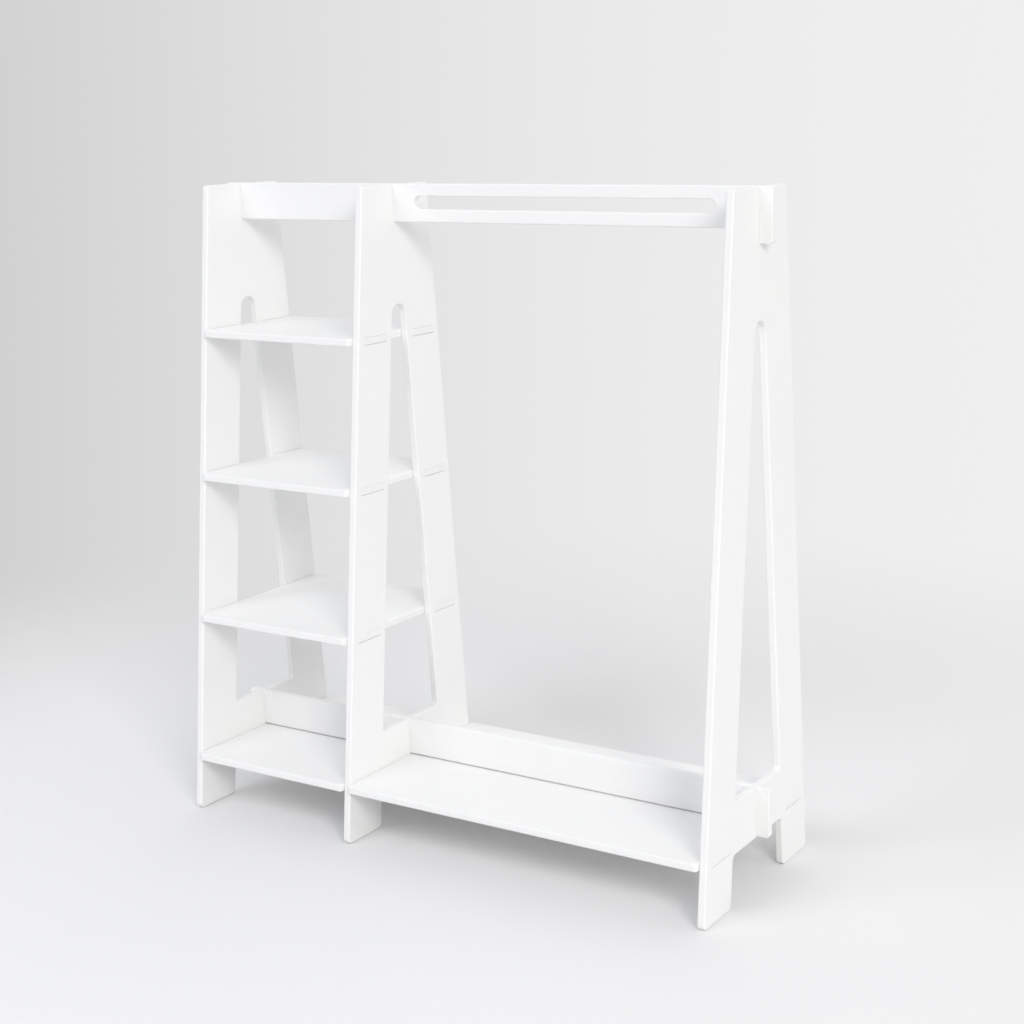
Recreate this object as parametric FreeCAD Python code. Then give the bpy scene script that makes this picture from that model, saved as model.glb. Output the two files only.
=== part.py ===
import FreeCAD, Part
import math
import os

# Children's clothing rack of painted sheet, in millimetres.
# X runs along the rack, -Y is its front, +Z is up, and the origin is on the floor under its middle.
# Three A-shaped panels carry shelves on through tabs. A slotted hanging rail and a back board
# drop into open slots in the panels, and their hooked ends keep the panels from spreading.

Vector = FreeCAD.Vector

# Sheet and its finish
sheet = 12.0
edge_round = 2.5
tool_round = 4.0

# Fits
side_clear = 0.15
tab_top_clear = 0.25
tab_meet_gap = 0.4

# A-shaped panel
panel_height = 1000.0
panel_top_depth = 167.5
panel_foot_depth = 344.5
panel_top_round = 5.0
panel_head = 182.0
arch_width = 31.7
leg_width = 84.0
foot_round = 8.0
crossbar_bottom = 76.5
crossbar_height = 77.0
notch_round = 9.0
cutout_round = 6.0

# Bays between the panels
shelf_bay = 289.0
hanging_bay = 595.0

# Shelves
bottom_shelf_level = 83.0
shelf_pitch = 226.8
upper_shelf_names = ("lower_shelf", "middle_shelf", "upper_shelf")
shelf_overhang = 7.4
shelf_corner_round = 6.0
tab_width = 56.0
tab_top_round = 1.2

# Hanging rail
rail_height = 58.0
rail_end_height = 78.0
rail_rise = 1.3
rail_lap = 27.5
hanger_slot_height = 19.5
hanger_slot_drop = 19.0
hanger_slot_from_divider = 37.5
hanger_slot_from_end_panel = 54.0

# Back board
board_height = 57.3
board_end_height = 75.0
board_lap = 28.5

# Hooked ends of the rail and the back board
hook_length = 19.5
hook_round = 6.0

# Working values
overrun = 5.0
join_tolerance = 1e-6

rack_length = 3 * sheet + shelf_bay + hanging_bay
left_panel_x = -rack_length / 2
divider_x = left_panel_x + sheet + shelf_bay
right_panel_x = divider_x + sheet + hanging_bay
panel_places = (left_panel_x, divider_x, right_panel_x)
crossbar_top = crossbar_bottom + crossbar_height
arch_top = panel_height - panel_head
rail_top = panel_height + rail_rise
rail_seat = panel_height - rail_lap
board_seat = crossbar_top - board_lap
lean = (panel_foot_depth - panel_top_depth) / 2 / panel_height


def outer_half(z):
    """Half the depth of a panel at height z."""
    return panel_foot_depth / 2 - lean * z


def inner_half(z):
    """Distance from the panel's middle to the inner edge of a leg or a foot at height z."""
    return outer_half(z) - leg_width


def shelf_levels():
    """Heights of the undersides of the shelves in the shelf bay, lowest first."""
    return [bottom_shelf_level + shelf_pitch * step for step in range(len(upper_shelf_names) + 1)]


def tab_middle(level):
    """Distance from the rack's middle to the middle of a shelf's tab."""
    return outer_half(level) - leg_width / 2


def rounded_outline(corners):
    """Closed wire through (point, radius) corners, each corner rounded by its radius."""
    arcs = []
    for index, (point, radius) in enumerate(corners):
        arriving = (point - corners[index - 1][0]).normalize()
        leaving = (corners[(index + 1) % len(corners)][0] - point).normalize()
        half_turn = arriving.getAngle(leaving) / 2
        reach = radius * math.tan(half_turn)
        bulge = radius / math.cos(half_turn) - radius
        inwards = (leaving - arriving).normalize()
        arcs.append((point - arriving * reach, point + inwards * bulge, point + leaving * reach))
    edges = []
    for index, (start, middle, end) in enumerate(arcs):
        edges.append(Part.Arc(start, middle, end).toShape())
        next_start = arcs[(index + 1) % len(arcs)][0]
        if end.distanceToPoint(next_start) > join_tolerance:
            edges.append(Part.LineSegment(end, next_start).toShape())
    return Part.Wire(edges)


def rounded_sheet(outlines, through):
    """Sheet cut to nested outlines, with the edges of both faces rounded over."""
    blank = Part.makeFace(outlines, "Part::FaceMakerBullseye").extrude(through)
    face_edges = []
    for edge in blank.Edges:
        along = edge.lastVertex().Point - edge.firstVertex().Point
        if abs(along.dot(through)) < join_tolerance:
            face_edges.append(edge)
    return blank.makeFillet(edge_round, face_edges)


def block(low, high):
    """Box between two opposite corners."""
    return Part.makeBox(high.x - low.x, high.y - low.y, high.z - low.z, low)


def panel_outline(x):
    """Outside of a panel: a trapezoid that stands on two feet with a notch between them."""
    def corner(y, z, radius):
        return Vector(x, y, z), radius

    foot_outer = outer_half(0)
    foot_inner = inner_half(0)
    notch_half = inner_half(crossbar_bottom)
    top_half = outer_half(panel_height)
    return rounded_outline([
        corner(-foot_outer, 0, foot_round),
        corner(-foot_inner, 0, foot_round),
        corner(-notch_half, crossbar_bottom, notch_round),
        corner(notch_half, crossbar_bottom, notch_round),
        corner(foot_inner, 0, foot_round),
        corner(foot_outer, 0, foot_round),
        corner(top_half, panel_height, panel_top_round),
        corner(-top_half, panel_height, panel_top_round),
    ])


def panel_cutout(x):
    """Tall opening between the legs, from the crossbar up to a round arch."""
    sill_half = inner_half(crossbar_top)
    arch_half = arch_width / 2
    side_lean = math.atan2(sill_half - arch_half, arch_top - crossbar_top)
    arch_round = arch_half / math.tan(math.pi / 4 - side_lean / 2)
    return rounded_outline([
        (Vector(x, -sill_half, crossbar_top), cutout_round),
        (Vector(x, sill_half, crossbar_top), cutout_round),
        (Vector(x, arch_half, arch_top), arch_round),
        (Vector(x, -arch_half, arch_top), arch_round),
    ])


def board_slot(x, floor, top):
    """Open slot in a panel, from its floor up past the edge that the board drops in from."""
    half_width = sheet / 2 + side_clear
    return block(
        Vector(x - overrun, -half_width, floor),
        Vector(x + sheet + overrun, half_width, top + overrun),
    )


def mortise(x, side, level):
    """Hole through a panel's leg for one shelf tab, which stands on the hole's floor."""
    middle = side * tab_middle(level)
    half_width = tab_width / 2 + side_clear
    return block(
        Vector(x - overrun, middle - half_width, level),
        Vector(x + sheet + overrun, middle + half_width, level + sheet + tab_top_clear),
    )


def panel(x, levels):
    """One A-shaped panel with slots for the rail and the board and mortises at its shelf levels."""
    cuts = [
        board_slot(x, rail_seat, panel_height),
        board_slot(x, board_seat, crossbar_top),
    ]
    for level in levels:
        for side in (-1, 1):
            cuts.append(mortise(x, side, level))
    blank = rounded_sheet([panel_outline(x), panel_cutout(x)], Vector(sheet, 0, 0))
    return blank.cut(cuts)


def shelf_tab(root_x, end_x, side, level):
    """Tab that reaches from inside a shelf into a mortise, its end rounded less above than below."""
    middle = side * tab_middle(level)
    blank = block(
        Vector(min(root_x, end_x), middle - tab_width / 2, level),
        Vector(max(root_x, end_x), middle + tab_width / 2, level + sheet),
    )
    rounded = blank
    for height, radius in ((level, edge_round), (level + sheet, tab_top_round)):
        end_edges = []
        for edge in rounded.Edges:
            reaches = [max(abs(vertex.X - end_x), abs(vertex.Z - height)) for vertex in edge.Vertexes]
            if max(reaches) < join_tolerance:
                end_edges.append(edge)
        rounded = rounded.makeFillet(radius, end_edges)
    return rounded


def shelf(left_x, right_x, level, left_tab, right_tab):
    """Shelf between two panel faces, with two tabs of the given length at each end."""
    depth_half = outer_half(level) + shelf_overhang
    outline = rounded_outline([
        (Vector(left_x, -depth_half, level), shelf_corner_round),
        (Vector(right_x, -depth_half, level), shelf_corner_round),
        (Vector(right_x, depth_half, level), shelf_corner_round),
        (Vector(left_x, depth_half, level), shelf_corner_round),
    ])
    tabs = []
    for side in (-1, 1):
        tabs.append(shelf_tab(left_x + sheet, left_x - left_tab, side, level))
        tabs.append(shelf_tab(right_x - sheet, right_x + right_tab, side, level))
    plate = rounded_sheet([outline], Vector(0, 0, sheet))
    return plate.fuse(tabs).removeSplitter()


def hooked_board(top, height, end_height, seat, holes):
    """Board on edge along the whole rack, notched up to its seat at each panel, with deeper hooked ends."""
    def corner(x, z, radius):
        return Vector(x, -sheet / 2, z), radius

    end_x = rack_length / 2 + hook_length
    step_x = rack_length / 2 - sheet / 2
    bottom = top - height
    end_bottom = top - end_height
    outline = rounded_outline([
        corner(-end_x, end_bottom, hook_round),
        corner(-step_x, end_bottom, tool_round),
        corner(-step_x, bottom, tool_round),
        corner(step_x, bottom, tool_round),
        corner(step_x, end_bottom, tool_round),
        corner(end_x, end_bottom, hook_round),
        corner(end_x, top, hook_round),
        corner(-end_x, top, hook_round),
    ])
    notches = []
    for x in panel_places:
        notches.append(block(
            Vector(x - side_clear, -sheet, end_bottom - overrun),
            Vector(x + sheet + side_clear, sheet, seat),
        ))
    return rounded_sheet([outline] + holes, Vector(0, sheet, 0)).cut(notches)


def hanger_slot():
    """Long round-ended opening in the rail over the hanging bay."""
    left_x = divider_x + sheet + hanger_slot_from_divider
    right_x = right_panel_x - hanger_slot_from_end_panel
    top = rail_top - hanger_slot_drop
    bottom = top - hanger_slot_height
    end_round = hanger_slot_height / 2
    return rounded_outline([
        (Vector(left_x, -sheet / 2, bottom), end_round),
        (Vector(right_x, -sheet / 2, bottom), end_round),
        (Vector(right_x, -sheet / 2, top), end_round),
        (Vector(left_x, -sheet / 2, top), end_round),
    ])


def build():
    """All pieces by name."""
    levels = shelf_levels()
    shared_tab = (sheet - tab_meet_gap) / 2
    bay_left = left_panel_x + sheet
    pieces = {
        "left_panel": panel(left_panel_x, levels),
        "divider_panel": panel(divider_x, levels),
        "right_panel": panel(right_panel_x, levels[:1]),
        "left_bottom_shelf": shelf(bay_left, divider_x, levels[0], sheet, shared_tab),
        "right_bottom_shelf": shelf(divider_x + sheet, right_panel_x, levels[0], shared_tab, sheet),
        "hanging_rail": hooked_board(rail_top, rail_height, rail_end_height, rail_seat, [hanger_slot()]),
        "back_board": hooked_board(crossbar_top, board_height, board_end_height, board_seat, []),
    }
    for name, level in zip(upper_shelf_names, levels[1:]):
        pieces[name] = shelf(bay_left, divider_x, level, sheet, sheet)
    return pieces


os.makedirs("parts", exist_ok=True)
for name, piece in build().items():
    if len(piece.Solids) != 1 or not piece.isValid():
        raise RuntimeError(name + " is not one sound solid")
    piece.Solids[0].exportStep("parts/" + name + ".step")
    print(name, round(piece.Volume), "mm3")
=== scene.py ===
import math

import bmesh
import bpy
from mathutils import Matrix, Vector

# Looks of a children's clothing rack of white painted sheet on a pale floor. Lengths in metres.

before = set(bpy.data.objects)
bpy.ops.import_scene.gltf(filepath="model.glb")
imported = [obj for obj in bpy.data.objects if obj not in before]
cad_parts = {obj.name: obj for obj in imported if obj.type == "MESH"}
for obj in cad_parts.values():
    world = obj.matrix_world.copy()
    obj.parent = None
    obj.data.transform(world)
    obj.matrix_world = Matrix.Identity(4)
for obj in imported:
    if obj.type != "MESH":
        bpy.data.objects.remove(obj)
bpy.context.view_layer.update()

# Pieces, grouped by the way their sheet lies
panel_names = ("left_panel", "divider_panel", "right_panel")
shelf_names = (
    "upper_shelf",
    "middle_shelf",
    "lower_shelf",
    "left_bottom_shelf",
    "right_bottom_shelf",
)
long_board_names = ("hanging_rail", "back_board")

# Directions of the frame, and the span of a mask or a share
axis_x = Vector((1.0, 0.0, 0.0))
axis_y = Vector((0.0, 1.0, 0.0))
axis_z = Vector((0.0, 0.0, 1.0))
none_to_all = (0.0, 1.0)

# White paint: its colours, its sheen and the small relief of its film
paint_white = (0.92, 0.92, 0.915, 1.0)
paint_shade = (0.895, 0.897, 0.892, 1.0)
paint_on_ends = (0.895, 0.895, 0.89, 1.0)
paint_specular = 0.4
face_roughness = 0.42
edge_roughness = 0.56
roughness_change = 0.05
cloud_size = 0.35
cloud_detail = 3.0
cloud_share = 0.7
grain_pitch = 0.004
grain_length = 0.16
grain_detail = 2.0
grain_share = 0.3
grain_depth = 0.00003
stipple_size = 0.0009
stipple_detail = 1.0
stipple_depth = 0.00002

# Photograph's camera, fitted to the rack's edges
camera_azimuth = math.radians(32.625)
camera_elevation = math.radians(10.421)
camera_roll = math.radians(-1.136)
camera_distance = 2.7377
camera_aim = Vector((0.0544, 0.0, 0.6122))
camera_lens = 64.277
camera_sensor = 36.0
camera_shift_up = -0.0643

# Floor, which fades into the backdrop away from the rack
floor_radius = 4.0
floor_sides = 96
floor_drop = 0.0003
floor_fade = (0.8, 2.2)
floor_color = (0.855, 0.855, 0.855, 1.0)
floor_roughness = 0.75
floor_specular = 0.2

# Backdrop, and the room's light, which comes from above, the right, the left and the back
backdrop_dark = (0.613, 0.613, 0.613, 1.0)
backdrop_light = (0.863, 0.863, 0.866, 1.0)
backdrop_reach = 0.3
room_light_color = (0.98, 0.985, 1.0, 1.0)
room_light_above = 0.515
room_above_height = 0.5
room_light_sides = ((axis_x, 0.45), (-axis_x, 0.21), (axis_y, 0.29))

# Soft lamps: name, place, width, power and colour
softboxes = (
    ("key_softbox", (5.43, -4.68, 4.23), 2.6, 248.0, (1.0, 0.98, 0.945)),
    ("fill_softbox", (-1.2, -3.4, 3.4), 2.4, 57.0, (0.885, 0.91, 1.0)),
    ("rear_softbox", (-1.5, 5.5, 3.1), 5.5, 42.0, (1.0, 0.99, 0.98)),
)


def feed(tree, socket, value):
    """Feed an input socket from another socket, or set it to a plain value."""
    if isinstance(value, bpy.types.NodeSocket):
        tree.links.new(value, socket)
    else:
        socket.default_value = value


def math_node(tree, operation, first, second):
    """Math node of two numbers. Returns its output."""
    node = tree.nodes.new("ShaderNodeMath")
    node.operation = operation
    feed(tree, node.inputs[0], first)
    feed(tree, node.inputs[1], second)
    return node.outputs["Value"]


def vector_node(tree, operation, first, second):
    """Vector math node of two vectors. Returns the node."""
    node = tree.nodes.new("ShaderNodeVectorMath")
    node.operation = operation
    feed(tree, node.inputs[0], first)
    feed(tree, node.inputs[1], second)
    return node


def range_node(tree, value, span, results):
    """Map Range node that takes a span of values to a span of results. Returns the node."""
    node = tree.nodes.new("ShaderNodeMapRange")
    feed(tree, node.inputs["Value"], value)
    for name, number in zip(("From Min", "From Max", "To Min", "To Max"), span + results):
        feed(tree, node.inputs[name], number)
    return node


def color_node(tree, share, first, second):
    """Mix of two colours, all of the second where the share is 1. Returns its output."""
    node = tree.nodes.new("ShaderNodeMix")
    node.data_type = "RGBA"
    feed(tree, node.inputs["Factor"], share)
    feed(tree, node.inputs["A"], first)
    feed(tree, node.inputs["B"], second)
    return node.outputs["Result"]


def shader_node(tree, share, first, second):
    """Mix of two shaders, all of the second where the share is 1. Returns its output."""
    node = tree.nodes.new("ShaderNodeMixShader")
    feed(tree, node.inputs["Fac"], share)
    feed(tree, node.inputs[1], first)
    feed(tree, node.inputs[2], second)
    return node.outputs["Shader"]


def noise_node(tree, vector, scale, detail):
    """Noise texture on a vector. Returns its 0 to 1 output."""
    node = tree.nodes.new("ShaderNodeTexNoise")
    feed(tree, node.inputs["Vector"], vector)
    feed(tree, node.inputs["Scale"], scale)
    feed(tree, node.inputs["Detail"], detail)
    return node.outputs["Fac"]


def new_group(name, inputs, outputs):
    """Shader node group with named sockets. Returns the tree and its input and output nodes."""
    tree = bpy.data.node_groups.new(name, "ShaderNodeTree")
    for socket_name, socket_type in inputs:
        tree.interface.new_socket(socket_name, in_out="INPUT", socket_type=socket_type)
    for socket_name, socket_type in outputs:
        tree.interface.new_socket(socket_name, in_out="OUTPUT", socket_type=socket_type)
    return tree, tree.nodes.new("NodeGroupInput"), tree.nodes.new("NodeGroupOutput")


def turned_away_group():
    """Mask: 0 where the surface faces along an axis, either way, and 1 where it is square to it."""
    tree, given, result = new_group(
        "turned_away",
        (("Normal", "NodeSocketVector"), ("Axis", "NodeSocketVector")),
        (("Mask", "NodeSocketFloat"),),
    )
    facing = vector_node(tree, "DOT_PRODUCT", given.outputs["Normal"], given.outputs["Axis"])
    along = math_node(tree, "ABSOLUTE", facing.outputs["Value"], 0.0)
    feed(tree, result.inputs["Mask"], math_node(tree, "SUBTRACT", 1.0, along))
    return tree


def paint_film_group():
    """Rolled paint: slow changes of tone and sheen, fibres of the sheet and a fine stipple."""
    tree, given, result = new_group(
        "paint_film",
        (
            ("Position", "NodeSocketVector"),
            ("Grain Stretch", "NodeSocketVector"),
            ("Edge", "NodeSocketFloat"),
        ),
        (
            ("Tone", "NodeSocketFloat"),
            ("Roughness", "NodeSocketFloat"),
            ("Relief", "NodeSocketFloat"),
        ),
    )
    place = given.outputs["Position"]
    stretched = vector_node(tree, "MULTIPLY", place, given.outputs["Grain Stretch"])
    cloud = noise_node(tree, place, 1 / cloud_size, cloud_detail)
    grain = noise_node(tree, stretched.outputs["Vector"], 1.0, grain_detail)
    stipple = noise_node(tree, place, 1 / stipple_size, stipple_detail)

    cloud_tone = math_node(tree, "MULTIPLY", cloud, cloud_share)
    grain_tone = math_node(tree, "MULTIPLY", grain, grain_share)
    feed(tree, result.inputs["Tone"], math_node(tree, "ADD", cloud_tone, grain_tone))

    sheen = range_node(tree, given.outputs["Edge"], none_to_all, (face_roughness, edge_roughness))
    change = range_node(tree, cloud, none_to_all, (-roughness_change, roughness_change))
    roughness = math_node(tree, "ADD", sheen.outputs["Result"], change.outputs["Result"])
    feed(tree, result.inputs["Roughness"], roughness)

    grain_relief = math_node(tree, "MULTIPLY", grain, grain_depth)
    stipple_relief = math_node(tree, "MULTIPLY", stipple, stipple_depth)
    feed(tree, result.inputs["Relief"], math_node(tree, "ADD", grain_relief, stipple_relief))
    return tree


def group_node(tree, group, values):
    """Node of a group with its inputs fed by name. Returns the node."""
    node = tree.nodes.new("ShaderNodeGroup")
    node.node_tree = group
    for name, value in values.items():
        feed(tree, node.inputs[name], value)
    return node


def painted_sheet(name, across_sheet, along_grain, turned_away, paint_film):
    """Satin white paint on a sheet that faces along one axis and has its grain along another."""
    material = bpy.data.materials.new(name)
    material.use_nodes = True
    tree = material.node_tree
    shader = tree.nodes["Principled BSDF"]
    feed(tree, shader.inputs["Specular IOR Level"], paint_specular)
    place = tree.nodes.new("ShaderNodeTexCoord")
    normal = place.outputs["Normal"]
    cut_edge = group_node(tree, turned_away, {"Normal": normal, "Axis": across_sheet})
    not_end = group_node(tree, turned_away, {"Normal": normal, "Axis": along_grain})

    across_grain = axis_x + axis_y + axis_z - along_grain
    film = group_node(tree, paint_film, {
        "Position": place.outputs["Object"],
        "Grain Stretch": across_grain / grain_pitch + along_grain / grain_length,
        "Edge": cut_edge.outputs["Mask"],
    })
    tone = color_node(tree, film.outputs["Tone"], paint_white, paint_shade)
    # The sheet's end faces, which look along its grain, are painted a little greyer than its other
    # faces
    color = color_node(tree, not_end.outputs["Mask"], paint_on_ends, tone)
    feed(tree, shader.inputs["Base Color"], color)
    feed(tree, shader.inputs["Roughness"], film.outputs["Roughness"])

    # The relief is in metres already, so the bump doesn't scale it
    bump = tree.nodes.new("ShaderNodeBump")
    feed(tree, bump.inputs["Distance"], 1.0)
    feed(tree, bump.inputs["Height"], film.outputs["Relief"])
    feed(tree, shader.inputs["Normal"], bump.outputs["Normal"])
    return material


def paint_rack():
    """Paint every node of the rack."""
    turned_away = turned_away_group()
    paint_film = paint_film_group()
    finishes = (
        ("panel_paint", panel_names, axis_x, axis_z),
        ("shelf_paint", shelf_names, axis_z, axis_x),
        ("long_board_paint", long_board_names, axis_y, axis_x),
    )
    for finish_name, names, across_sheet, along_grain in finishes:
        paint = painted_sheet(finish_name, across_sheet, along_grain, turned_away, paint_film)
        for name in names:
            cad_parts[name].material_slots[0].material = paint


def view_directions():
    """Right, up and back of the photograph's camera."""
    flat = math.cos(camera_elevation)
    back = Vector((
        math.sin(camera_azimuth) * flat,
        -math.cos(camera_azimuth) * flat,
        math.sin(camera_elevation),
    ))
    level_right = axis_z.cross(back).normalized()
    level_up = back.cross(level_right)
    right = level_right * math.cos(camera_roll) + level_up * math.sin(camera_roll)
    return right, back.cross(right), back


def place_camera():
    """Camera where the photograph was taken from."""
    right, up, back = view_directions()
    data = bpy.data.cameras.new("photograph_camera")
    data.lens = camera_lens
    data.sensor_width = camera_sensor
    data.shift_y = camera_shift_up
    camera = bpy.data.objects.new("photograph_camera", data)
    bpy.context.scene.collection.objects.link(camera)
    turned = Matrix((right, up, back)).transposed().to_4x4()
    camera.matrix_world = Matrix.Translation(camera_aim + back * camera_distance) @ turned
    bpy.context.scene.camera = camera


def floor_material():
    """Pale matt floor, seen to fade into the backdrop away from the rack."""
    material = bpy.data.materials.new("studio_floor")
    material.use_nodes = True
    tree = material.node_tree
    shader = tree.nodes["Principled BSDF"]
    feed(tree, shader.inputs["Base Color"], floor_color)
    feed(tree, shader.inputs["Roughness"], floor_roughness)
    feed(tree, shader.inputs["Specular IOR Level"], floor_specular)

    place = tree.nodes.new("ShaderNodeTexCoord")
    away = tree.nodes.new("ShaderNodeVectorMath")
    away.operation = "LENGTH"
    feed(tree, away.inputs[0], place.outputs["Object"])
    fade = range_node(tree, away.outputs["Value"], floor_fade, none_to_all)
    fade.interpolation_type = "SMOOTHSTEP"
    rays = tree.nodes.new("ShaderNodeLightPath")
    seen_fade = math_node(tree, "MULTIPLY", fade.outputs["Result"], rays.outputs["Is Camera Ray"])
    clear = tree.nodes.new("ShaderNodeBsdfTransparent")
    surface = shader_node(tree, seen_fade, shader.outputs["BSDF"], clear.outputs["BSDF"])
    feed(tree, tree.nodes["Material Output"].inputs["Surface"], surface)
    return material


def lay_floor():
    """Round floor under the rack."""
    shape = bmesh.new()
    bmesh.ops.create_circle(shape, cap_ends=True, segments=floor_sides, radius=floor_radius)
    bmesh.ops.translate(shape, verts=shape.verts, vec=(0.0, 0.0, -floor_drop))
    mesh = bpy.data.meshes.new("studio_floor")
    shape.to_mesh(mesh)
    shape.free()
    mesh.materials.append(floor_material())
    floor = bpy.data.objects.new("studio_floor", mesh)
    bpy.context.scene.collection.objects.link(floor)


def backdrop_node(tree, direction):
    """Backdrop that grows paler to the photograph's right, fast at first. Returns its output."""
    right = view_directions()[0]
    sideways = vector_node(tree, "DOT_PRODUCT", direction, right)
    right_to_left = (backdrop_reach, -backdrop_reach)
    darkness = range_node(tree, sideways.outputs["Value"], right_to_left, none_to_all)
    eased = math_node(tree, "MULTIPLY", darkness.outputs["Result"], darkness.outputs["Result"])
    node = tree.nodes.new("ShaderNodeBackground")
    feed(tree, node.inputs["Color"], color_node(tree, eased, backdrop_light, backdrop_dark))
    return node.outputs["Background"]


def room_light_node(tree, direction):
    """Light from above and, strongest at the middle of each, from the sides. Returns its output."""
    parts = tree.nodes.new("ShaderNodeSeparateXYZ")
    feed(tree, parts.inputs["Vector"], direction)
    above = range_node(tree, parts.outputs["Z"], (0.0, room_above_height), (0.0, room_light_above))
    strength = above.outputs["Result"]
    for side, level in room_light_sides:
        facing = vector_node(tree, "DOT_PRODUCT", direction, side * level)
        share = math_node(tree, "MAXIMUM", facing.outputs["Value"], 0.0)
        strength = math_node(tree, "ADD", strength, share)
    node = tree.nodes.new("ShaderNodeBackground")
    feed(tree, node.inputs["Color"], room_light_color)
    feed(tree, node.inputs["Strength"], strength)
    return node.outputs["Background"]


def light_room():
    """Room that lights the rack and shows as a plain backdrop."""
    world = bpy.data.worlds.new("studio")
    world.use_nodes = True
    bpy.context.scene.world = world
    tree = world.node_tree
    tree.nodes.remove(tree.nodes["Background"])
    direction = tree.nodes.new("ShaderNodeTexCoord").outputs["Generated"]
    backdrop = backdrop_node(tree, direction)
    room_light = room_light_node(tree, direction)
    rays = tree.nodes.new("ShaderNodeLightPath")
    shown = rays.outputs["Is Camera Ray"]
    for kind in ("Is Glossy Ray", "Is Transmission Ray"):
        shown = math_node(tree, "MAXIMUM", shown, rays.outputs[kind])
    surface = shader_node(tree, shown, room_light, backdrop)
    feed(tree, tree.nodes["World Output"].inputs["Surface"], surface)


def hang_softboxes():
    """Soft square lamps that face the rack and aren't seen."""
    for name, place, width, power, color in softboxes:
        data = bpy.data.lights.new(name, "AREA")
        data.size = width
        data.energy = power
        data.color = color
        lamp = bpy.data.objects.new(name, data)
        bpy.context.scene.collection.objects.link(lamp)
        facing = (Vector(place) - camera_aim).to_track_quat("Z", "Y")
        lamp.matrix_world = Matrix.Translation(place) @ facing.to_matrix().to_4x4()
        lamp.visible_camera = False
        lamp.visible_glossy = False


paint_rack()
place_camera()
lay_floor()
light_room()
hang_softboxes()
bpy.context.scene.view_settings.view_transform = "Standard"
